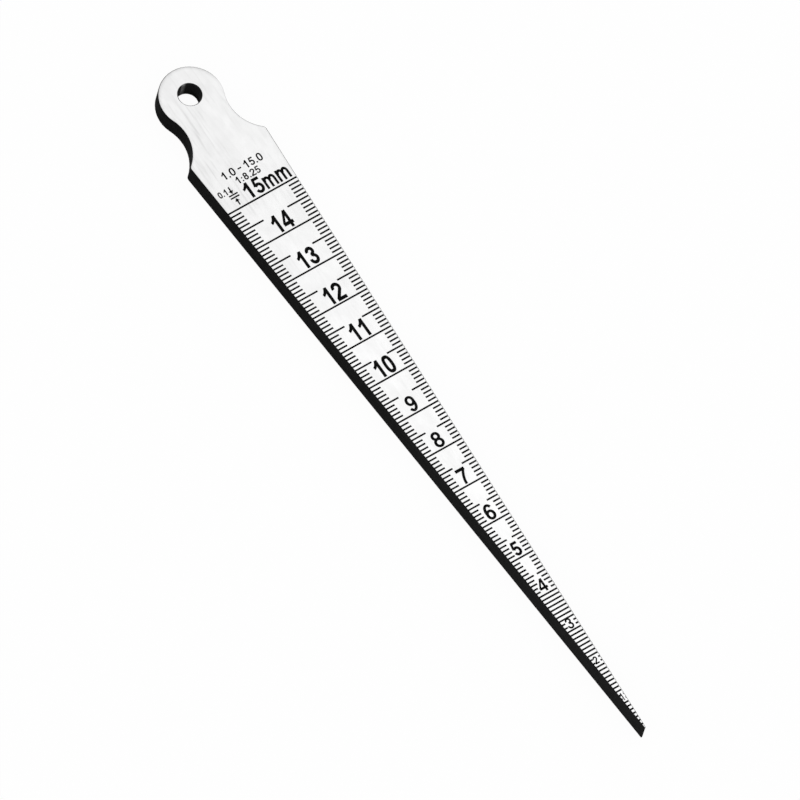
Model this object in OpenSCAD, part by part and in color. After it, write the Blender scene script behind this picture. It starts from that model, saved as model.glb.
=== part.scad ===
// Taper gauge: a flat steel wedge whose width at each graduation is the size that it reads.
// It lies on its back face, +X runs from the head to the tip, +Z is out of the graduated face,
// and the origin is the middle of its length on the back face.

/* [Plate] */
// Length over all, from the end of the head to the tip
overall_l = 150; // [147:0.5:154]
// Thickness of the plate
plate_t = 4.3; // [1.5:0.1:6]
// Width of the flat at the tip
tip_w = 0.3; // [0.3:0.02:0.5]
// Break on the edges of both faces
edge_break = 0.1; // [0.08:0.01:0.14]

/* [Head and neck] */
// Diameter of the round head
head_d = 12.1; // [11.5:0.1:12.8]
// Width across the waist of the neck
waist_w = 10; // [9:0.1:10.8]
// Radius of the hollow on each side of the neck
neck_r = 7.8; // [6.5:0.1:9]
// Radius of the shoulder corners
shoulder_r = 0.9; // [0.5:0.1:1.5]

/* [Hang hole] */
// Diameter of the hole
hole_d = 4.3; // [3:0.1:5]
// From the end of the head to the middle of the hole
hole_inset = 5.5; // [4.5:0.1:7]
// Break on both rims of the hole
hole_break = 0.15; // [0.05:0.05:0.3]

/* [Taper scale] */
// Length of blade for each millimetre of width
taper_ratio = 8.25; // [8:0.05:8.5]
// Width at the first graduation
scale_start = 15; // [10:1:15]
// Width at the last graduation
scale_end = 0.4; // [0.4:0.1:1]
// Graduations in each millimetre of width
scale_steps = 10; // [10, 20]
// Width from which the graduations run right across, down to the tip
across_from = 4; // [2:1:6]

/* [Engraved lines] */
// Width of a line
line_w = 0.35; // [0.15:0.05:0.4]
// Depth of a line
line_depth = 0.06; // [0.03:0.01:0.07]
// Length of a short tick at the first graduation
tick_l = 2.3; // [1.6:0.1:3]
// Length of a short tick where the lines begin to run across
tick_end_l = 1.4; // [0.6:0.1:1.6]
// Length of a half-way tick at the first graduation
half_tick_l = 4.8; // [3.2:0.1:5.5]
// Length of a half-way tick where the lines begin to run across
half_tick_end_l = 1.8; // [1.4:0.1:1.9]
// Shorter ticks beside each figure that has little room
figure_ticks = 2; // [0:1:3]
// Length of those ticks, as a share of the width there
figure_tick_share = 0.23; // [0.15:0.01:0.27]

/* [Hidden] */
$fn = 96;
// How far a cutting shape reaches past what it cuts
over = 1;
// How far neighbouring arcs cross, so that each meets the next in a clean edge
cross = 0.005;

// Places in the plane of the plate are taken from the middle of the head.
head_r = head_d / 2;
tip_x = overall_l - head_r;
hole_x = hole_inset - head_r;

// The blade's edges would meet at the apex, where the width is nought.
apex_x = tip_x + tip_w * taper_ratio;
edge_a = atan(0.5 / taper_ratio);
edge_out = [sin(edge_a), cos(edge_a)];
edge_along = [cos(edge_a), -sin(edge_a)];
function width_at(x) = (apex_x - x) / taper_ratio;
function graduation_x(width) = apex_x - width * taper_ratio;

// Each neck hollow runs out of the head and sets the waist.
neck_y = waist_w / 2 + neck_r;
neck_x = sqrt(pow(head_r + neck_r - cross, 2) - pow(neck_y, 2));
neck_c = [neck_x, neck_y];

// Each shoulder arc runs from its neck hollow into the edge of the blade.
shoulder_out = apex_x * sin(edge_a) - shoulder_r;
shoulder_drop = neck_c * edge_out - shoulder_out;
shoulder_along = neck_c * edge_along + sqrt(pow(neck_r + shoulder_r, 2) - pow(shoulder_drop, 2));
shoulder_c = shoulder_out * edge_out + shoulder_along * edge_along;
to_neck = (neck_c - shoulder_c) / norm(neck_c - shoulder_c);

// The kinds of line, by the graduation's number counted from the apex.
function runs_across(n) =
    n % scale_steps == 0
    || (n < across_from * scale_steps && (n < scale_steps || n % scale_steps > figure_ticks));
function beside_figure(n) =
    n < (across_from + 1) * scale_steps && n % scale_steps > 0 && n % scale_steps <= figure_ticks;
function is_half_way(n) = n > across_from * scale_steps && 2 * (n % scale_steps) == scale_steps;
function between(width, at_end, at_start) =
    at_end + (at_start - at_end) * (width - across_from) / (scale_start - across_from);
function line_l(n) =
    let (width = n / scale_steps)
    beside_figure(n) ? width * figure_tick_share
    : is_half_way(n) ? between(width, half_tick_end_l, half_tick_l)
    : between(width, tick_end_l, tick_l);

module both_edges() {
    children();
    mirror([0, 1, 0]) children();
}

// Section of a disc as thick as the plate, with its rims broken
module disc_section(r) {
    polygon([
        [0, 0],
        [r - edge_break, 0],
        [r, edge_break],
        [r, plate_t - edge_break],
        [r - edge_break, plate_t],
        [0, plate_t]
    ]);
}

module head() {
    rotate_extrude() disc_section(head_r);
}

// The blade with its edges carried on past the shoulders, and a web that joins it to the head
module blank() {
    back_x = shoulder_c.x - 2 * shoulder_r;
    linear_extrude(plate_t) {
        polygon([
            [back_x, width_at(back_x) / 2],
            [tip_x, tip_w / 2],
            [tip_x, -tip_w / 2],
            [back_x, -width_at(back_x) / 2]
        ]);
        polygon([
            [0, 0],
            neck_c,
            shoulder_c,
            [shoulder_c.x, -shoulder_c.y],
            [neck_c.x, -neck_c.y]
        ]);
    }
}

// Takes out a neck hollow and breaks its edges
module neck_cut() {
    flare_r = neck_r + edge_break + over;
    translate(neck_c)
        rotate_extrude()
            polygon([
                [0, -over],
                [flare_r, -over],
                [neck_r, edge_break],
                [neck_r, plate_t - edge_break],
                [flare_r, plate_t + over],
                [0, plate_t + over]
            ]);
}

// Rounds off a shoulder corner
module shoulder_cut() {
    reach = 3 * shoulder_r;
    translate(shoulder_c)
        difference() {
            translate([0, 0, -over])
                linear_extrude(plate_t + 2 * over)
                    polygon([[0, 0], reach * edge_out, reach * (edge_out + to_neck), reach * to_neck]);
            rotate_extrude() disc_section(shoulder_r + cross);
        }
}

// Breaks the two long corners of a blade edge
module edge_cut() {
    low = edge_break + over;
    translate(shoulder_c + shoulder_r * (edge_out - 2 * edge_along))
        rotate([0, 0, -edge_a])
            rotate([90, 0, 90])
                linear_extrude(overall_l) {
                    polygon([[-low, -over], [over, low], [over, -over]]);
                    polygon([[-low, plate_t + over], [over, plate_t - low], [over, plate_t + over]]);
                }
}

module hang_hole() {
    rim_r = hole_d / 2 + hole_break + over;
    translate([hole_x, 0, 0]) {
        translate([0, 0, -over]) cylinder(d = hole_d, h = plate_t + 2 * over);
        translate([0, 0, -over]) cylinder(r1 = rim_r, r2 = hole_d / 2, h = hole_break + over);
        translate([0, 0, plate_t - hole_break]) cylinder(r1 = hole_d / 2, r2 = rim_r, h = hole_break + over);
    }
}

// One graduation, open at the edges of the blade
module line_cut(n) {
    width = n / scale_steps;
    translate([graduation_x(width) - line_w / 2, 0])
        if (runs_across(n))
            translate([0, -width / 2 - over]) square([line_w, width + 2 * over]);
        else
            both_edges()
                translate([0, width / 2 - line_l(n)]) square([line_w, line_l(n) + over]);
}

module graduations() {
    translate([0, 0, plate_t - line_depth])
        linear_extrude(line_depth + over)
            for (n = [scale_end * scale_steps : scale_start * scale_steps]) line_cut(n);
}

module gauge() {
    color("silver")
        translate([head_r - overall_l / 2, 0, 0])
            difference() {
                union() {
                    head();
                    blank();
                }
                both_edges() {
                    neck_cut();
                    shoulder_cut();
                    edge_cut();
                }
                hang_hole();
                graduations();
            }
}

gauge();
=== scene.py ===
# %% [markdown]
# # A taper gauge
# A taper gauge is a flat steel wedge with a scale on it. It slides into a gap or a hole until it stops, and
# the line at the mouth gives the width there. The solid model of this one is ready: it holds the plate, the
# hang hole and the engraved lines at their true sizes. This lesson dresses that model. It finishes the
# steel, fills the lines with ink, draws the figures and then sets up the camera and the light for the
# picture.

# %% The solid model
import math

import bmesh
import bpy
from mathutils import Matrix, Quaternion, Vector
from mathutils.geometry import delaunay_2d_cdt


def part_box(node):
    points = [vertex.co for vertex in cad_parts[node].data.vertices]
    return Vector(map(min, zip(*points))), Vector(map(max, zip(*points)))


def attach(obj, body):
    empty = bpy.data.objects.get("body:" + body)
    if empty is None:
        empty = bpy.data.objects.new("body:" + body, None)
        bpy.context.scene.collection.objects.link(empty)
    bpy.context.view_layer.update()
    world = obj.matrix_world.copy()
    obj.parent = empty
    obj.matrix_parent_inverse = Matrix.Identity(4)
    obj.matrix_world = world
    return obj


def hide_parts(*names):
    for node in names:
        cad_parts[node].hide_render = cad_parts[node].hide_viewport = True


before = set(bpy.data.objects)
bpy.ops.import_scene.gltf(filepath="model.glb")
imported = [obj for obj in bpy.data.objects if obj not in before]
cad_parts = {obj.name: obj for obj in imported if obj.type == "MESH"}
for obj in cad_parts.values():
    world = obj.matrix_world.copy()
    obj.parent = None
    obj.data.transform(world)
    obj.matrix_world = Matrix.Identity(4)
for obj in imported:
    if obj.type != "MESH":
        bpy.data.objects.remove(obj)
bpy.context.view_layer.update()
MM = 0.001
low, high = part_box("gauge")
print("solid model, in mm:", [round(side / MM, 2) for side in high - low])

# %% [markdown]
# ## Sums as sums
# A finish is a tree of small nodes, and most of them only add or multiply. Linking those by hand hides the
# sum that they make. So one small class wraps a socket: an operator on it adds the Math node that does the
# work, and one method makes every other node from its type, its settings and its inputs. The same class
# serves the shaders and the Geometry Nodes further on, because both kinds of tree take Math nodes.


# %% A socket that can be added and multiplied
class Wire:
    """An output socket of a node tree, on which sums can be written."""

    def __init__(self, socket):
        self.socket = socket
        self.tree = socket.id_data

    @staticmethod
    def node(tree, kind, settings=None, inputs=None, output=0):
        """Adds a node, sets it up, feeds its inputs and returns one of its outputs."""
        made = tree.nodes.new(kind)
        for name, value in (settings or {}).items():
            setattr(made, name, value)
        for key, value in (inputs or {}).items():
            for item in value if isinstance(value, list) else [value]:
                if isinstance(item, Wire):
                    tree.links.new(item.socket, made.inputs[key])
                else:
                    made.inputs[key].default_value = item
        return Wire(made.outputs[output]) if len(made.outputs) else None

    def maths(self, operation, first, second):
        return Wire.node(self.tree, "ShaderNodeMath", {"operation": operation}, {0: first, 1: second})

    def __add__(self, other):
        return self.maths("ADD", self, other)

    def __radd__(self, other):
        return self.maths("ADD", other, self)

    def __sub__(self, other):
        return self.maths("SUBTRACT", self, other)

    def __rsub__(self, other):
        return self.maths("SUBTRACT", other, self)

    def __mul__(self, other):
        return self.maths("MULTIPLY", self, other)

    def __rmul__(self, other):
        return self.maths("MULTIPLY", other, self)

    def __truediv__(self, other):
        return self.maths("DIVIDE", self, other)

    def __mod__(self, other):
        return self.maths("MODULO", self, other)

    def __lt__(self, other):
        return self.maths("LESS_THAN", self, other)

    def __gt__(self, other):
        return self.maths("GREATER_THAN", self, other)

    def __and__(self, other):
        return self.maths("MULTIPLY", self, other)

    def __or__(self, other):
        return self.maths("MAXIMUM", self, other)

    def __abs__(self):
        return self.maths("ABSOLUTE", self, 0.0)

    def __pow__(self, other):
        return self.maths("POWER", self, other)


operators = [name for name in vars(Wire) if name.startswith("__") and callable(getattr(Wire, name))]
print("operators on a wire:", sorted(set(operators) - {"__init__"}))

# %% [markdown]
# ## Marks on a surface
# Streaks, spots and wear are all marks of some size in some place. They could come from pictures of real
# metal, but noise needs no file, has no seams and can be set in millimetres. So one helper makes noise whose
# marks have a given size, the next fades a value in between two places, and the two together make marks with
# soft edges. All of them read the place on the object itself, so the marks stay put from any side.


# %% Helpers for a finish
def new_finish(name):
    """A material, with its node tree, its Principled shader and the place on the object."""
    material = bpy.data.materials.new(name)
    material.use_nodes = True
    tree = material.node_tree
    place = Wire.node(tree, "ShaderNodeTexCoord", output="Object")
    return material, tree, tree.nodes["Principled BSDF"], place


def axis(tree, place, name):
    """One coordinate of a place."""
    return Wire.node(tree, "ShaderNodeSeparateXYZ", None, {0: place}, output=name)


def grain(tree, place, size, detail=2.0, turn=0.0):
    """Noise from 0 to 1 whose marks are about size = (x, y, z) mm; another turn, another pattern."""
    scale = Vector(1 / (side * MM) for side in size)
    placing = {"Vector": place, "Scale": scale, "Location": Vector((0.0, turn, 0.0))}
    placed = Wire.node(tree, "ShaderNodeMapping", None, placing)
    return Wire.node(tree, "ShaderNodeTexNoise", None, {"Vector": placed, "Scale": 1.0, "Detail": detail})


def ramp(tree, value, start, end):
    """0 where value is at start, 1 where it is at end, and smooth between."""
    ease = {"interpolation_type": "SMOOTHSTEP"}
    return Wire.node(tree, "ShaderNodeMapRange", ease, {"Value": value, "From Min": start, "From Max": end})


def marks(tree, place, size, least, full, detail=2.0, turn=0.0):
    """Marks with soft edges: 0 where the noise is below least, 1 where it is above full."""
    return ramp(tree, grain(tree, place, size, detail, turn), least, full)


def blend(tree, mask, first, second):
    """The first grey where mask is 0, the second where it is 1."""
    greys = {6: (first, first, first, 1.0), 7: (second, second, second, 1.0)}
    return Wire.node(tree, "ShaderNodeMix", {"data_type": "RGBA"}, {0: mask, **greys}, output=2)


def bump(tree, strength, depth, height):
    """The normal of a surface whose height changes a little."""
    raised = {"Strength": strength, "Distance": depth, "Height": height}
    return Wire.node(tree, "ShaderNodeBump", None, raised)


def feed(tree, shader, sockets):
    """Links wires to the shader's sockets, and sets the plain values there."""
    for name, value in sockets.items():
        if isinstance(value, Wire):
            tree.links.new(value.socket, shader.inputs[name])
        else:
            shader.inputs[name].default_value = value


helpers = (new_finish, axis, grain, ramp, marks, blend, bump, feed)
print("helpers for a finish:", ", ".join(helper.__name__ for helper in helpers))

# %% [markdown]
# ## The outline
# The blade's two edges are straight and would meet at an apex beyond the tip, so its width at any place is
# the way to the apex over the taper. The head is a disc, and a hollow on each side joins it to the blade.
# The rim of such a plate is rolled over a little where its corner was broken, and it takes less light than
# the flat of the face. That shade is painted into the steel's colour, as a darker band along the rim. It
# could be painted on by hand, but it follows the outline, so a few sums find how far inside the outline any
# place lies. The roll, and with it the painted shade, is broader round the end of the head, and fingers
# have rubbed the far corner of the neck bright.

# %% How far inside the outline a place lies
TIP_WIDTH = 0.3 * MM
TAPER = 8.25
APEX = high.x + TIP_WIDTH * TAPER
HEAD_RADIUS = 6.05 * MM
HEAD_X = low.x + HEAD_RADIUS
HEAD_END = HEAD_X + 2.3 * MM
HOLLOW_RADIUS = 7.8 * MM
HOLLOW_X, HOLLOW_Y = HEAD_X + 5.3 * MM, 12.8 * MM
SHOULDER_X = HEAD_X + 12.0 * MM
# The band of painted shade along the rim, and the broader band round the end of the head.
RIM_INNER, RIM_OUTER = 0.42 * MM, 0.12 * MM
ROLL_INNER = 0.80 * MM
ROLL_FROM, ROLL_TO = HEAD_X + 1.0 * MM, HEAD_X - 2.5 * MM
ROLL_SHADE_STRENGTH = 1.4
GRIP_START, GRIP_FULL = HEAD_X - 3.0 * MM, HEAD_X + 0.5 * MM
GRIP_END, GRIP_FADE = HEAD_X + 8.0 * MM, HEAD_X + 2.5 * MM
GRIP_SIDE = 1.0 * MM
GRIP_STRENGTH = 0.8


def gripped(tree, x, y):
    """1 on the far side of the neck, where a finger rests, and 0 elsewhere."""
    along = ramp(tree, x, GRIP_START, GRIP_FULL) * ramp(tree, x, GRIP_END, GRIP_FADE)
    return along * ramp(tree, y, 0.0, GRIP_SIDE)


def rim(tree, x, y):
    """Painted rim shade: 1 at the rim of a face, more at the head's end, and 0 a little way inside it."""
    side = abs(y)

    def away_from(point_x, point_y):
        along, across = x - point_x, side - point_y
        return (along * along + across * across) ** 0.5

    def band(depth, inner=RIM_INNER):
        return ramp(tree, depth, inner, RIM_OUTER)

    in_head = HEAD_RADIUS - away_from(HEAD_X, 0.0)
    hollow = band(away_from(HOLLOW_X, HOLLOW_Y) - HOLLOW_RADIUS)
    head = band(in_head) & (x < HEAD_END)
    blade = band((APEX - x) / (2 * TAPER) - side) & (x > SHOULDER_X)
    # More painted shade round the end of the head, where the roll is broader.
    roll_shade = band(in_head, ROLL_INNER) & ramp(tree, x, ROLL_FROM, ROLL_TO)
    return (hollow | head | blade) * (1 - GRIP_STRENGTH * gripped(tree, x, y)) + ROLL_SHADE_STRENGTH * roll_shade


print("apex:", round((APEX - high.x) / MM, 3), "mm beyond the tip")
print("head:", round(2 * HEAD_RADIUS / MM, 1), "mm across")

# %% [markdown]
# ## Brushed steel
# Both faces of the plate are ground and then brushed along their length, so the steel is bright but carries
# fine streaks. Noise that is stretched along X gives such streaks. The brush is the finest layer. Dark
# streaks and bright gleams come in clusters, and under them lie broad patches and a small mottle, which
# grinding and handling leave. The streaks also change the roughness and the height a little, because a
# streak that only changes the colour looks printed on. The head, where fingers hold the gauge, has more
# scratches than the blade, most of them on the side of the thumb, and its steel is painted a little darker
# as shade. A darker band of painted shade also runs along the rim of each face.

# %% The bright finish of the two faces
DULL_STEEL, BRIGHT_STEEL = 0.48, 0.96
BRUSH_SIZE = (14.0, 0.10, 0.10)
STREAK_SIZE = (6.0, 0.55, 0.55)
GLEAM_SIZE = (9.0, 0.60, 0.70)
CLUSTER_SIZE = (9.0, 4.5, 4.5)
PATCH_SIZE = (6.0, 3.0, 3.0)
MOTTLE_SIZE = (2.2, 1.0, 1.0)
STREAK_TURN, CLUSTER_TURN = 30.0, 11.0
BRUSH_DEPTH = 0.02 * MM
# From here towards the head the scratches grow, and painted shade darkens the steel.
HEAD_SIDE_FROM, HEAD_SIDE_TO = -18.0 * MM, -58.0 * MM
THUMB_FROM, THUMB_TO = 2.5 * MM, -3.5 * MM


def brushed_steel():
    material, tree, shader, place = new_finish("brushed_steel")
    x, y = (axis(tree, place, name) for name in "XY")
    # Towards the head: more scratches, and painted shade that makes the steel a little darker.
    head_wear_and_shade = ramp(tree, x, HEAD_SIDE_FROM, HEAD_SIDE_TO)
    thumb = head_wear_and_shade * ramp(tree, y, THUMB_FROM, THUMB_TO)
    brush = grain(tree, place, BRUSH_SIZE, detail=3.0)
    streak = marks(tree, place, STREAK_SIZE, 0.46, 0.74, turn=STREAK_TURN)
    gleam = marks(tree, place, GLEAM_SIZE, 0.55, 0.75)
    cluster = marks(tree, place, CLUSTER_SIZE, 0.36, 0.60, detail=1.0, turn=CLUSTER_TURN)
    patch = marks(tree, place, PATCH_SIZE, 0.30, 0.70)
    mottle = marks(tree, place, MOTTLE_SIZE, 0.35, 0.65)
    dark = streak * cluster * (0.06 + 0.06 * head_wear_and_shade + 0.14 * thumb) + 0.03 * thumb
    light = gleam * cluster * 0.03 + patch * 0.10 + mottle * 0.06 + brush * 0.06
    # The rim term is painted shade: a darker band along the rim of the face.
    shine = 0.79 - 0.075 * head_wear_and_shade - dark + light - 0.17 * rim(tree, x, y)
    feed(tree, shader, {
        "Base Color": blend(tree, shine, DULL_STEEL, BRIGHT_STEEL),
        "Metallic": 1.0,
        "Roughness": 0.28 + 0.14 * brush + 0.08 * streak * cluster,
        "Normal": bump(tree, 0.10, BRUSH_DEPTH, 0.6 * brush - 0.3 * streak),
    })
    return material


steel_finish = brushed_steel()
print("finish:", steel_finish.name, "with", len(steel_finish.node_tree.nodes), "nodes")

# %% [markdown]
# ## Black edges
# The side walls, the hole and the broken corners keep the black skin that the blank had before its faces
# were ground. That skin is matt and nearly even. It has faint drag lines along the edge and small spots, and
# its grey is a little lighter towards the back corner, towards the tip and in the hole. A painted highlight
# runs down the wall of the hole on the side towards the end of the head. On the far corner of the neck the
# skin is rubbed through. One mask for the wear and this painted light keeps the finish simple: it says how
# much of the bare steel shows. A matt black lets hardly any white floor show in it, so its specular level
# is low, one number for the whole surface.

# %% The black skin of the walls
BLACK_SKIN, BARE_STEEL = 0.002, 0.74
DRAG_SIZE = (8.0, 8.0, 0.45)
SPOT_SIZE = (0.6, 0.6, 0.9)
SKIN_DEPTH = 0.02 * MM
# How far the mask of wear, lighter grey and painted highlight lifts the black towards bare steel.
SKIN_LIGHTENING = 0.32
NEAR_BACK_FROM, NEAR_BACK_TO = 0.8 * MM, 0.1 * MM
TOWARDS_TIP_FROM, TOWARDS_TIP_TO = -60.0 * MM, 70.0 * MM
HOLE_X, HOLE_RADIUS = low.x + 5.5 * MM, 2.15 * MM
HOLE_MOUTH = 1.1 * HOLE_RADIUS
# The painted highlight in the hole: its middle across the plate, where it is full and where it fades out.
HOLE_HIGHLIGHT_Y, HOLE_HIGHLIGHT_INNER, HOLE_HIGHLIGHT_OUTER = 0.1 * MM, 0.05 * MM, 0.65 * MM
CORNER_DEPTH = 0.12 * MM


def black_skin():
    material, tree, shader, place = new_finish("black_skin")
    x, y, z = (axis(tree, place, name) for name in "XYZ")
    drag = marks(tree, place, DRAG_SIZE, 0.35, 0.65)
    spots = marks(tree, place, SPOT_SIZE, 0.35, 0.65)
    # The grey is a little lighter towards the back corner and towards the tip.
    near_back = ramp(tree, z, NEAR_BACK_FROM, NEAR_BACK_TO)
    towards_tip = ramp(tree, x, TOWARDS_TIP_FROM, TOWARDS_TIP_TO)
    along = x - HOLE_X
    in_hole = along * along + y * y < HOLE_MOUTH ** 2
    # Painted highlight: a soft light stripe down the wall of the hole, on its side towards the end of the
    # head.
    hole_highlight = in_hole & (along < 0.0) & ramp(tree, abs(y - HOLE_HIGHLIGHT_Y), HOLE_HIGHLIGHT_OUTER, HOLE_HIGHLIGHT_INNER)
    # Drag lines, spots, and a lighter grey towards the back corner and the tip.
    lighter = 0.005 + 0.01 * drag + 0.01 * spots + 0.028 * towards_tip + near_back * (0.002 + 0.01 * spots)
    # Wear, lighter grey and the painted highlight in the hole, in one mask.
    wear_and_sheen = lighter + 0.05 * in_hole + hole_highlight * (0.75 + 0.35 * spots)
    bare = gripped(tree, x, y) & (z > high.z - CORNER_DEPTH) & (1 - in_hole)
    feed(tree, shader, {
        "Base Color": blend(tree, SKIN_LIGHTENING * wear_and_sheen + bare, BLACK_SKIN, BARE_STEEL),
        "Roughness": 0.55 + 0.2 * drag,
        "Specular IOR Level": 0.006,
        "Normal": bump(tree, 0.15, SKIN_DEPTH, 0.5 * drag + 0.5 * spots),
    })
    return material


skin_finish = black_skin()
print("finish:", skin_finish.name, "with", len(skin_finish.node_tree.nodes), "nodes")

# %% [markdown]
# ## The plate
# The plate is one piece of steel, and the solid model already has its shape. It arrives as loose triangles,
# which is right for measuring but shades every arc as facets. It could be modelled again, but a copy with
# its corners merged keeps every size, and it can be shaded smooth, with sharp edges wherever two faces meet
# at more than a few degrees. The copy also gives each face its own finish. A face in the top or the bottom
# plane is brushed steel, and so are the grooves, which were cut into the bright face. Everything else is
# black skin: the walls, the hole and the broken corners.

# %% The plate, merged and finished
WELD = 0.001 * MM
LEVEL = 0.005 * MM
GROOVE_DEPTH = 0.06 * MM
UPRIGHT, FLAT = 0.1, 0.9
SHARP = math.radians(25)
STORED_NORMALS = "custom_normal"


def merged_plate():
    work = bmesh.new()
    work.from_mesh(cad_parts["gauge"].data)
    bmesh.ops.remove_doubles(work, verts=work.verts, dist=WELD)
    for face in work.faces:
        on_back = all(vert.co.z < low.z + LEVEL for vert in face.verts)
        on_top = all(vert.co.z > high.z - GROOVE_DEPTH - LEVEL for vert in face.verts)
        square_on = abs(face.normal.z) < UPRIGHT or face.normal.z > FLAT
        face.material_index = 0 if on_back or on_top and square_on else 1
        face.smooth = face.material_index == 1
    mesh = bpy.data.meshes.new("plate")
    work.to_mesh(mesh)
    work.free()
    if STORED_NORMALS in mesh.attributes:
        mesh.attributes.remove(mesh.attributes[STORED_NORMALS])
    mesh.materials.append(steel_finish)
    mesh.materials.append(skin_finish)
    mesh.set_sharp_from_angle(angle=SHARP)
    return mesh


def add_piece(name, mesh):
    """An object at the origin for a finished mesh, which moves with the gauge."""
    piece = bpy.data.objects.new(name, mesh)
    bpy.context.scene.collection.objects.link(piece)
    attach(piece, "root")
    return piece


plate = add_piece("plate", merged_plate())
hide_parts("gauge")
print("plate:", len(plate.data.polygons), "faces,", len(plate.data.vertices), "corners")

# %% [markdown]
# ## Ink
# The lines are engraved and then filled with a matt black ink, and the figures are printed in the same ink.
# One plain black would do from far away. But such ink is never quite even: it is a little thinner in places,
# so a cloud and a fine speck move its grey and its gloss by a small amount.

# %% The ink of the lines and figures
FULL_INK, THIN_INK = 0.002, 0.012
CLOUD_SIZE = (0.8, 0.8, 0.8)
SPECK_SIZE = (0.07, 0.07, 0.07)
SPECK_DEPTH = 0.005 * MM


def black_ink():
    material, tree, shader, place = new_finish("black_ink")
    cloud = grain(tree, place, CLOUD_SIZE, detail=3.0)
    speck = grain(tree, place, SPECK_SIZE)
    lighter = ramp(tree, 0.5 * cloud + 0.5 * speck, 0.35, 0.85)
    feed(tree, shader, {
        "Base Color": blend(tree, lighter, FULL_INK, THIN_INK),
        "Roughness": 0.5 + 0.25 * speck,
        "Specular IOR Level": 0.02,
        "Normal": bump(tree, 0.2, SPECK_DEPTH, speck),
    })
    return material


ink_finish = black_ink()
print("finish:", ink_finish.name, "with", len(ink_finish.node_tree.nodes), "nodes")

# %% [markdown]
# ## The graduations
# The scale follows a rule. The width of the blade at a line is the size that the line reads, so line number
# n sits where the blade is n tenths of a millimetre wide. A whole millimetre runs right across. Above 4 mm
# the lines between are pairs of ticks, short ones and longer half-way ones, which shrink with the blade.
# Below 4 mm they run across too. Where a figure has little room, from the 4 down, the few lines beside it
# are cut short. A loop could place the lines one by one, but over a hundred lines that obey one rule are a
# job for Geometry Nodes: one point for each line, the rule worked out from the point's index, and one bar on
# each point. Each bar fills its groove in the plate almost to the top. It stops short of the far edge, and
# less so near the tip, because the cloth that wipes the ink off the face drags it out of the open end of a
# groove.

# %% The sizes of the scale
LINE_WIDTH = 0.35 * MM
INK_SIDE_GAP = 0.002 * MM
INK_HEIGHT = 0.049 * MM
INK_SUNK = 0.0095 * MM
SCALE_SIZES = {
    "First line": 150,
    "Last line": 4,
    "Lines in a unit": 10,
    "Units that run across": 4,
    "Ticks beside a figure": 2,
    "Unit": MM,
    "Taper": TAPER,
    "Apex": APEX,
    "Share beside a figure": 0.23,
    "Short tick, wide end": 2.3 * MM,
    "Short tick, narrow end": 1.4 * MM,
    "Half-way tick, wide end": 4.8 * MM,
    "Half-way tick, narrow end": 1.8 * MM,
    "Bar width": LINE_WIDTH - 2 * INK_SIDE_GAP,
    "Bar height": INK_HEIGHT,
    "Bar middle": high.z - INK_SUNK - INK_HEIGHT / 2,
    "Near edge gap": 0.04 * MM,
    "Far edge gap": 0.115 * MM,
    "Full gap from": 1.3 * MM,
}
print("scale:", SCALE_SIZES["First line"] - SCALE_SIZES["Last line"] + 1, "lines")

# %% The rule of the scale
# Whole numbers are compared half a step off, where rounding can't tip them.
HALF = 0.5


def scale_rule(tree, size):
    """For each line: the width that it reads, how far in a tick reaches, and whether it runs across."""
    number = size["Last line"] + Wire.node(tree, "GeometryNodeInputIndex")
    steps = size["Lines in a unit"]
    count = number / steps
    width = count * size["Unit"]
    step = number % steps
    wide_from = size["Units that run across"]
    narrow = number < wide_from * steps - HALF
    at_tip = number < steps - HALF
    clear_of_figure = step > size["Ticks beside a figure"] + HALF
    across = (step < HALF) | (narrow & (at_tip | clear_of_figure))
    half_way = (step * 2 > steps - HALF) & (step * 2 < steps + HALF)
    share = (count - wide_from) / (size["First line"] / steps - wide_from)

    def tick(kind):
        end = size[kind + ", narrow end"]
        return end + (size[kind + ", wide end"] - end) * share

    wide_tick = half_way * tick("Half-way tick") + (1 - half_way) * tick("Short tick")
    beside = (number < (wide_from + 1) * steps - HALF) & (1 - clear_of_figure)
    reach = beside * width * size["Share beside a figure"] + (1 - beside) * wide_tick
    return width, reach, across


print("the rule reads", len(SCALE_SIZES), "sizes")


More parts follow.
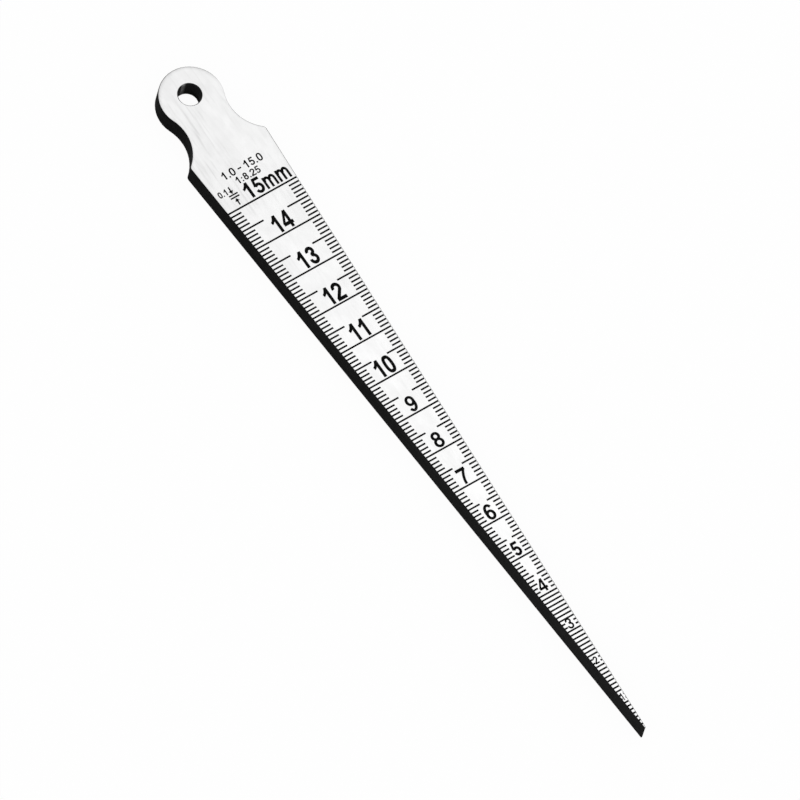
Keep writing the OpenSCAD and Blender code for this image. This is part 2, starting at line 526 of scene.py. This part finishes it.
# %% The bars of ink
def graduation_tree():
    """The tree, and the identifier of each of its inputs."""
    tree = bpy.data.node_groups.new("graduation_ink", "GeometryNodeTree")
    made = {name: tree.interface.new_socket(name=name, in_out="INPUT", socket_type="NodeSocketFloat")
            for name in SCALE_SIZES}
    made["Ink"] = tree.interface.new_socket(name="Ink", in_out="INPUT", socket_type="NodeSocketMaterial")
    tree.interface.new_socket(name="Lines", in_out="OUTPUT", socket_type="NodeSocketGeometry")
    given = Wire.node(tree, "NodeGroupInput").socket.node
    size = {name: Wire(given.outputs[name]) for name in made}
    width, reach, across = scale_rule(tree, size)

    def xyz(x, y, z):
        return Wire.node(tree, "ShaderNodeCombineXYZ", None, {"X": x, "Y": y, "Z": z})

    def bars(y, length, chosen):
        """Bars of that length, their middles at y, on the chosen lines."""
        place = xyz(size["Apex"] - width * size["Taper"], y, size["Bar middle"])
        lines = size["First line"] - size["Last line"] + 1
        points = Wire.node(tree, "GeometryNodePoints", None, {"Count": lines, "Position": place})
        return Wire.node(tree, "GeometryNodeInstanceOnPoints", None, {
            "Points": points,
            "Selection": chosen,
            "Instance": Wire.node(tree, "GeometryNodeMeshCube"),
            "Scale": xyz(size["Bar width"], length, size["Bar height"]),
        })

    inner = width / 2 - reach
    room = width.maths("MINIMUM", width / size["Full gap from"], 1.0)
    far, near = width / 2 - size["Far edge gap"] * room, width / 2 - size["Near edge gap"]
    sets = [bars((far - near) / 2, far + near, across)]
    for side, outer in ((1, far), (-1, near)):
        sets.append(bars(side * (outer + inner) / 2, outer - inner, 1 - across))
    joined = Wire.node(tree, "GeometryNodeJoinGeometry", None, {0: sets})
    real = Wire.node(tree, "GeometryNodeRealizeInstances", None, {0: joined})
    inked = Wire.node(tree, "GeometryNodeSetMaterial", None, {0: real, "Material": size["Ink"]})
    Wire.node(tree, "NodeGroupOutput", None, {0: inked})
    return tree, {name: socket.identifier for name, socket in made.items()}


scale_tree, scale_inputs = graduation_tree()
print("scale tree:", len(scale_tree.nodes), "nodes")


# %% The filled lines
def filled_lines():
    maker = bpy.data.objects.new("line_maker", bpy.data.meshes.new("line_maker"))
    bpy.context.scene.collection.objects.link(maker)
    modifier = maker.modifiers.new("graduations", "NODES")
    modifier.node_group = scale_tree
    for name, value in SCALE_SIZES.items():
        modifier[scale_inputs[name]] = float(value)
    modifier[scale_inputs["Ink"]] = ink_finish
    ready = maker.evaluated_get(bpy.context.evaluated_depsgraph_get())
    mesh = bpy.data.meshes.new_from_object(ready)
    maker.modifiers.remove(modifier)
    bpy.data.objects.remove(maker)
    mesh.name = "graduation_ink"
    return mesh


graduation_ink = add_piece("graduation_ink", filled_lines())
print("graduations:", len(graduation_ink.data.polygons) // 6, "bars of ink")

# %% [markdown]
# ## A pen for the figures
# The figures on a gauge are drawn with an even pen and are rather narrow, unlike most type. A text object
# would bring the wrong shapes, so they are drawn here as pen strokes too. A sign is a few lines and arcs in
# a cell that is 1 high and 0.7 wide. A stroke becomes a ribbon of small quads as wide as the pen, and
# squeezing the cell sideways makes the upright strokes thinner than the level ones, as on the real figures.

# %% Strokes
CELL = 0.70
ADVANCE = 0.767
LEVEL_PEN = 0.86
SAME_POINT = 1e-6
MITRE_LIMIT = 0.5


def arc(middle, radii, start, end, power=2.0, count=28):
    """Points on an ellipse from one angle to another; a power above 2 squares it up."""
    points = []
    for step in range(count + 1):
        angle = math.radians(start + (end - start) * step / count)
        x, y = math.cos(angle), math.sin(angle)
        points.append((
            middle[0] + radii[0] * math.copysign(abs(x) ** (2 / power), x),
            middle[1] + radii[1] * math.copysign(abs(y) ** (2 / power), y),
        ))
    return points


def bow(first, pull, last, count=12):
    """Points on a curve from first to last that leans towards pull."""
    points = []
    for step in range(count + 1):
        t = step / count
        points.append(tuple(
            (1 - t) ** 2 * a + 2 * t * (1 - t) * b + t ** 2 * c for a, b, c in zip(first, pull, last)
        ))
    return points


def ribbon(points, pen):
    """Quads as wide as the pen along a line of points, which is a loop if its ends meet."""
    line = [Vector(point) for point in points]
    loop = (line[0] - line[-1]).length < SAME_POINT
    if loop:
        line.pop()
    sides = []
    for index, point in enumerate(line):
        before = line[index - 1] if index or loop else None
        after = line[(index + 1) % len(line)] if index + 1 < len(line) or loop else None
        headings = [(b - a).normalized() for a, b in ((before, point), (point, after)) if a and b]
        heading = sum(headings, Vector((0, 0))).normalized()
        reach = pen / 2 / max(MITRE_LIMIT, heading.dot(headings[0]))
        across = Vector((-heading.y, heading.x * LEVEL_PEN)) * reach
        sides.append((point + across, point - across))
    pairs = zip(sides, sides[1:] + sides[:1]) if loop else zip(sides, sides[1:])
    return [[a_right, b_right, b_left, a_left] for (a_left, a_right), (b_left, b_right) in pairs]


print("cell:", CELL, "wide; next cell after", ADVANCE)

# %% [markdown]
# ## The signs
# Each sign lists its strokes, each with its weight beside the full pen. The outer edges of a sign stay put
# when the pen changes, so the strokes are drawn half a pen inside them. The 6 is turned half round for the
# 9. The 1 has its upright to the right of a curved flag, and the slant of the 4 is lighter than its upright.
# The unit needs an m, which is two arches on a stem, and the small numbers need a point, a colon and a dash.

# %% The strokes of the figures
SEVEN_BAR = 1.18
EIGHT_WAIST = 0.53


def figure_strokes(pen):
    """The strokes of each figure for this pen, as (weight, points)."""
    x, y = pen / 2, pen / 2 * LEVEL_PEN
    upper, lower = (1 - y + EIGHT_WAIST) / 2, (y + EIGHT_WAIST) / 2
    six = [
        (1.0, arc((0.35, 0.323), (0.312 - x, 0.323 - y), 0, 360)),
        (1.0, arc((0.385, 0.50), (0.347 - x, 0.50 - y), 195, 38)),
    ]
    return {
        "0": [(1.0, arc((0.35, 0.5), (0.350 - x, 0.505 - y), 0, 360, 2.6))],
        "1": [
            (1.03, [(0.417, 0.0), (0.417, 1.0)]),
            (0.86, bow((0.045, 0.635), (0.25, 0.674), (0.40, 0.955))),
        ],
        "2": [
            (1.0, arc((0.35, 0.70), (0.350 - x, 0.30 - y), 190, -32) + [(0.07, 0.12)]),
            (1.0, [(-0.02, y), (0.715, y)]),
        ],
        "3": [
            (1.0, arc((0.343, 0.733), (0.320 - x, 0.267 - y), 188, -90)),
            (1.0, arc((0.35, 0.297), (0.352 - x, 0.297 - y), 90, -190)),
            (0.9, [(0.27, 0.53), (0.37, 0.53)]),
        ],
        "4": [
            (1.0, [(0.503, 0.0), (0.503, 1.0)]),
            (1.02, [(-0.034, 0.277), (0.734, 0.277)]),
            (0.80, [(0.485, 0.975), (0.015, 0.29)]),
        ],
        "5": [
            (1.0, [(0.137, 1 - y), (0.662, 1 - y)]),
            (0.88, [(0.215, 1 - y), (0.127, 0.475)]),
            (1.0, arc((0.350, 0.333), (0.346 - x, 0.333 - y), 148, -164)),
        ],
        "6": six,
        "7": [
            (SEVEN_BAR, [(0.03, 1 - SEVEN_BAR * y), (0.685, 1 - SEVEN_BAR * y)]),
            (0.95, bow((0.61, 0.90), (0.25, 0.42), (0.24, 0.0))),
        ],
        "8": [
            (1.0, arc((0.36, upper), (0.305 - x, upper - EIGHT_WAIST), 0, 360)),
            (1.0, arc((0.36, lower), (0.335 - x, EIGHT_WAIST - lower), 0, 360)),
        ],
        "9": [(weight, [(CELL - a, 1 - b) for a, b in points]) for weight, points in six],
    }


print("figures drawn:", " ".join(figure_strokes(0.2)))

# %% The strokes of the unit and the points
M_WIDTH, M_HEIGHT = 1.05, 0.75
M_SPRING, M_SHOULDER = 0.045, 0.45
COLON_POINTS = (0.12, 0.55)
ADVANCES = {"m": 1.185, ".": 0.40, ":": 0.44, "-": 0.62, " ": 0.34}


def other_strokes(pen):
    """The strokes of the signs that aren't figures, as (weight, points)."""
    x, y = pen / 2, pen / 2 * LEVEL_PEN
    dot = CELL / 2

    def arch(left, right):
        middle, half = (left + M_SPRING + right) / 2, (right - left - M_SPRING) / 2
        return arc((middle, M_SHOULDER), (half, M_HEIGHT - y - M_SHOULDER), 180, 0) + [(right, 0.0)]

    return {
        "m": [
            (1.0, [(x, 0.0), (x, M_HEIGHT)]),
            (1.0, arch(x, M_WIDTH / 2)),
            (1.0, arch(M_WIDTH / 2, M_WIDTH - x)),
        ],
        ".": [(1.0, [(dot - x, y), (dot + x, y)])],
        ":": [(1.0, [(dot - x, at), (dot + x, at)]) for at in COLON_POINTS],
        "-": [(1.0, [(0.10, 0.46), (0.60, 0.46)])],
        " ": [],
    }


def write(text, height, squeeze, pen, middle, foot):
    """The text as quads on the face, in mm: its cells centred on Y = middle, its foot at X = foot."""
    drawn = {**figure_strokes(pen), **other_strokes(pen)}
    steps = [ADVANCES.get(sign, ADVANCE) for sign in text]
    start = -sum(steps) / 2
    quads = []
    for sign, step in zip(text, steps):
        left = start + (step - (M_WIDTH if sign == "m" else CELL)) / 2
        for weight, points in drawn[sign]:
            for quad in ribbon(points, pen * weight):
                quads.append([(foot - b * height, middle + (left + a) * squeeze * height) for a, b in quad])
        start += step
    return quads


print("a 14 of", len(write("14", 3.6, 0.72, 0.2, 0.0, 0.0)), "quads")

# %% [markdown]
# ## From strokes to a film of ink
# The quads of neighbouring strokes overlap. Boolean modifiers could join them, one pair at a time. But one
# triangulation that knows which quads each triangle came from joins them all: every triangle that came from
# at least one quad is ink, and the eyes of the 0, 4, 6, 8 and 9 came from none. Pushing that flat shape down
# a little makes a closed film, which stands a hair proud of the steel and is rooted in it.

# %% The film
FILM_PROUD = 0.008 * MM
FILM_ROOT = 0.012 * MM
INSIDE_ONLY = 1
CROSSING_GAP = 1e-5


def film(name, shapes):
    """A closed film of ink from flat shapes, which are lists of (x, y) in mm."""
    points = [Vector(point) for shape in shapes for point in shape]
    faces, at = [], 0
    for shape in shapes:
        faces.append(list(range(at, at + len(shape))))
        at += len(shape)
    flat, _, triangles, _, _, sources = delaunay_2d_cdt(points, [], faces, INSIDE_ONLY, CROSSING_GAP)
    work = bmesh.new()
    corners = [work.verts.new((x * MM, y * MM, high.z + FILM_PROUD)) for x, y in flat]
    for triangle, source in zip(triangles, sources):
        if source:
            work.faces.new([corners[index] for index in triangle])
    loose = [vert for vert in work.verts if not vert.link_faces]
    bmesh.ops.delete(work, geom=loose, context="VERTS")
    bmesh.ops.dissolve_degenerate(work, dist=WELD, edges=work.edges)
    made = bmesh.ops.extrude_face_region(work, geom=work.faces[:], use_keep_orig=True)
    for item in made["geom"]:
        if isinstance(item, bmesh.types.BMVert):
            item.co.z = high.z - FILM_ROOT
    bmesh.ops.recalc_face_normals(work, faces=work.faces)
    mesh = bpy.data.meshes.new(name)
    work.to_mesh(mesh)
    work.free()
    mesh.materials.append(ink_finish)
    return mesh


print("film:", round(FILM_PROUD / MM, 3), "mm proud,", round(FILM_ROOT / MM, 3), "mm rooted")

# %% The figures of the scale
HEAD_MIDDLE = HEAD_X / MM
UNIT_SQUEEZE, UNIT_PEN, UNIT_MIDDLE = 0.72, 0.198, 4.24
# From this value up: height, squeeze, pen, middle and gap above the line.
FIGURE_SIZES = {
    15: (3.26, 0.81, 0.215, -0.57, 0.48),
    11: (3.66, 0.715, 0.222, 0.06, 0.40),
    10: (3.66, 0.715, 0.224, -0.22, 0.40),
    6: (3.20, 0.90, 0.190, -0.13, 0.36),
    5: (2.84, 0.82, 0.220, -0.11, 0.40),
    4: (2.62, 0.82, 0.205, -0.13, 0.49),
    3: (2.20, 0.80, 0.190, -0.14, 0.28),
    2: (1.55, 0.76, 0.220, -0.16, 0.50),
    1: (1.55, 0.65, 0.200, -0.16, 0.43),
}


def line_at(width):
    """X of the graduation that reads this width, in mm."""
    return APEX / MM - width * TAPER


def figure(value):
    """One figure, standing on its line towards the head."""
    height, squeeze, pen, middle, gap = next(row for least, row in FIGURE_SIZES.items() if value >= least)
    return write(str(value), height, squeeze, pen, middle, line_at(value) - gap)


def unit(value):
    """The unit, beside the figure of this value and as high."""
    height, *_, gap = FIGURE_SIZES[value]
    return write("mm", height, UNIT_SQUEEZE, UNIT_PEN, UNIT_MIDDLE, line_at(value) - gap)


figures = [quad for value in range(1, 16) for quad in figure(value)] + unit(15)
figure_ink = add_piece("figure_ink", film("figure_ink", figures))
print("figures:", len(figure_ink.data.polygons), "faces of ink")

# %% [markdown]
# ## The sign for one division
# Beside the first line stands a small sign: two arrows that close on a pair of lines, and 0.1, the width
# that one division stands for. It is drawn with the same pen, thinner, and the arrow heads are plain
# triangles, so the same film makes all of it. Above the figures, two rows of plain numbers give the range of
# the scale and the taper.

# %% The division sign
SIGN_Y = -4.45
LINE_PAIR, LINE_PAIR_Y = (19.87, 20.42), SIGN_Y + 0.02
PAIR_THICK, PAIR_LONG = 0.29, 1.85
SHAFT_THICK = 0.28
ARROW_HALF = 0.46
# Along X from the middle of the head: tail, end of the shaft, foot of the arrow head and its point.
ARROWS = ((18.17, 19.15, 19.00, 19.70), (22.11, 21.05, 21.30, 20.63))
DIVISION_HEIGHT, DIVISION_SQUEEZE, DIVISION_PEN = 1.28, 0.80, 0.22
DIVISION_MIDDLE, DIVISION_FOOT = -5.98, HEAD_MIDDLE + 19.44


def bar(x, y, length_x, length_y):
    """A rectangle with its middle at (x, y)."""
    turns = ((-1, -1), (1, -1), (1, 1), (-1, 1))
    return [(x + across * length_x / 2, y + up * length_y / 2) for across, up in turns]


def arrow(tail, shaft_end, foot, point):
    """A shaft and a head that lie along X."""
    half = math.copysign(ARROW_HALF, point - foot)
    shaft = bar(HEAD_MIDDLE + (tail + shaft_end) / 2, SIGN_Y, abs(shaft_end - tail), SHAFT_THICK)
    head = [(foot, SIGN_Y - half), (point, SIGN_Y), (foot, SIGN_Y + half)]
    return [shaft, [(HEAD_MIDDLE + x, y) for x, y in head]]


def division_sign():
    shapes = [bar(HEAD_MIDDLE + x, LINE_PAIR_Y, PAIR_THICK, PAIR_LONG) for x in LINE_PAIR]
    for places in ARROWS:
        shapes += arrow(*places)
    form = (DIVISION_HEIGHT, DIVISION_SQUEEZE, DIVISION_PEN)
    return shapes + write("0.1", *form, DIVISION_MIDDLE, DIVISION_FOOT)


division_ink = add_piece("division_ink", film("division_ink", division_sign()))
print("division sign:", len(division_ink.data.polygons), "faces of ink")

# %% The range and the taper
NUMBER_SQUEEZE, NUMBER_PEN, NUMBER_MIDDLE = 0.92, 0.20, 0.02
# Each row's text, its height, and its foot from the middle of the head.
NUMBER_ROWS = (("1.0 - 15.0", 1.60, 16.80), (f"1:{TAPER}", 1.45, 18.65))

numbers = []
for text, height, foot in NUMBER_ROWS:
    numbers += write(text, height, NUMBER_SQUEEZE, NUMBER_PEN, NUMBER_MIDDLE, HEAD_MIDDLE + foot)
number_ink = add_piece("number_ink", film("number_ink", numbers))
print("numbers:", len(number_ink.data.polygons), "faces of ink")

# %% [markdown]
# ## The camera
# The gauge lies on the floor with its head away from the viewer, and its front and back edges look parallel.
# An orthographic camera would keep them so. A very long lens from far off does it as well, and it is what a
# photographer would use. Three angles turn the camera: round the gauge, above the floor, and about its own
# axis. The field is the width that the picture shows.

# %% The camera
VIEW_ROUND = math.radians(-50.34)
VIEW_ABOVE = math.radians(62.944)
VIEW_ROLL = math.radians(17.828)
FIELD = 141.97 * MM
LENS = 1600.0
SENSOR = 36.0
FARTHEST = 100.0
AIM = Vector((-0.35, -1.50, 4.3)) * MM


def add_camera():
    flat = math.cos(VIEW_ABOVE)
    back = Vector((math.cos(VIEW_ROUND) * flat, math.sin(VIEW_ROUND) * flat, math.sin(VIEW_ABOVE)))
    data = bpy.data.cameras.new("camera")
    data.lens, data.sensor_width = LENS, SENSOR
    data.clip_end = FARTHEST
    camera = bpy.data.objects.new("camera", data)
    bpy.context.scene.collection.objects.link(camera)
    camera.rotation_mode = "QUATERNION"
    camera.rotation_quaternion = back.to_track_quat("Z", "Y") @ Quaternion((0, 0, 1), VIEW_ROLL)
    camera.location = AIM + back * (FIELD * LENS / SENSOR)
    bpy.context.scene.camera = camera
    return camera


camera = add_camera()
print("camera:", round(camera.location.length, 2), "m away, field", round(FIELD / MM, 1), "mm")

# %% [markdown]
# ## A white room
# The gauge lies in an even white room, as small tools do for a catalogue. Metal has no look of its own: it
# shows the room. Strong lamps would only bring hard spots into it. So the world is white to the camera and
# to everything that reflects, and a little lower for the light that falls on matt surfaces. The floor is
# white to the camera as well, with a small share of a real matt floor mixed in, which keeps a faint shadow.
# One broad, weak lamp over the blade brightens it towards the tip.

# %% The world
WHITE = (1.0, 1.0, 1.0, 1.0)
ROOM_LIGHT = 0.85
SEEN_RAYS = ("Is Camera Ray", "Is Glossy Ray", "Is Transmission Ray")


def seen_directly(tree):
    """1 for rays from the camera, a reflection or a clear body, and 0 for stray light."""
    camera_ray, glossy, through = (Wire.node(tree, "ShaderNodeLightPath", output=ray) for ray in SEEN_RAYS)
    return camera_ray | glossy | through


def white_world():
    world = bpy.data.worlds.new("white_room")
    world.use_nodes = True
    tree = world.node_tree
    strength = ROOM_LIGHT + (1 - ROOM_LIGHT) * seen_directly(tree)
    feed(tree, tree.nodes["Background"], {"Color": WHITE, "Strength": strength})
    bpy.context.scene.world = world


white_world()
print("room light on matt surfaces:", ROOM_LIGHT)

# %% The floor
FLOOR_REACH, FLOOR_DROP = 6.0, -0.02 * MM
FLOOR_DARK, FLOOR_PALE = 0.93, 0.96
FLOOR_MARKS = (40.0, 40.0, 40.0)
FLOOR_GLOW = 0.96


def floor_finish():
    material, tree, shader, place = new_finish("matt_floor")
    feed(tree, shader, {
        "Base Color": blend(tree, grain(tree, place, FLOOR_MARKS), FLOOR_DARK, FLOOR_PALE),
        "Roughness": 0.9,
        "Specular IOR Level": 0.0,
    })
    glow = Wire.node(tree, "ShaderNodeEmission", None, {"Color": WHITE, "Strength": 1.0})
    parts = {0: FLOOR_GLOW * seen_directly(tree), 1: Wire(shader.outputs[0]), 2: glow}
    mixed = Wire.node(tree, "ShaderNodeMixShader", None, parts)
    tree.links.new(mixed.socket, tree.nodes["Material Output"].inputs["Surface"])
    return material


def white_floor():
    mesh = bpy.data.meshes.new("floor")
    corners = [(x, y, FLOOR_DROP) for x, y in bar(0.0, 0.0, 2 * FLOOR_REACH, 2 * FLOOR_REACH)]
    mesh.from_pydata(corners, [], [(0, 1, 2, 3)])
    mesh.materials.append(floor_finish())
    floor = bpy.data.objects.new("floor", mesh)
    bpy.context.scene.collection.objects.link(floor)


white_floor()
print("floor:", 2 * FLOOR_REACH, "m wide")

# %% The lamp
LAMP_PLACE = Vector((0.02, 0.16, 0.42))
LAMP_AIM = Vector((0.06, 0.0, 0.0))
LAMP_SIZE = 0.30
LAMP_WATTS = 0.042


def broad_lamp():
    data = bpy.data.lights.new("broad_lamp", "AREA")
    data.shape, data.size, data.energy = "DISK", LAMP_SIZE, LAMP_WATTS
    lamp = bpy.data.objects.new("broad_lamp", data)
    bpy.context.scene.collection.objects.link(lamp)
    lamp.location = LAMP_PLACE
    lamp.rotation_mode = "QUATERNION"
    lamp.rotation_quaternion = (LAMP_PLACE - LAMP_AIM).to_track_quat("Z", "Y")


broad_lamp()
bpy.context.scene.view_settings.view_transform = "Standard"
print("lamp:", LAMP_WATTS, "W,", LAMP_SIZE, "m across")

# %% [markdown]
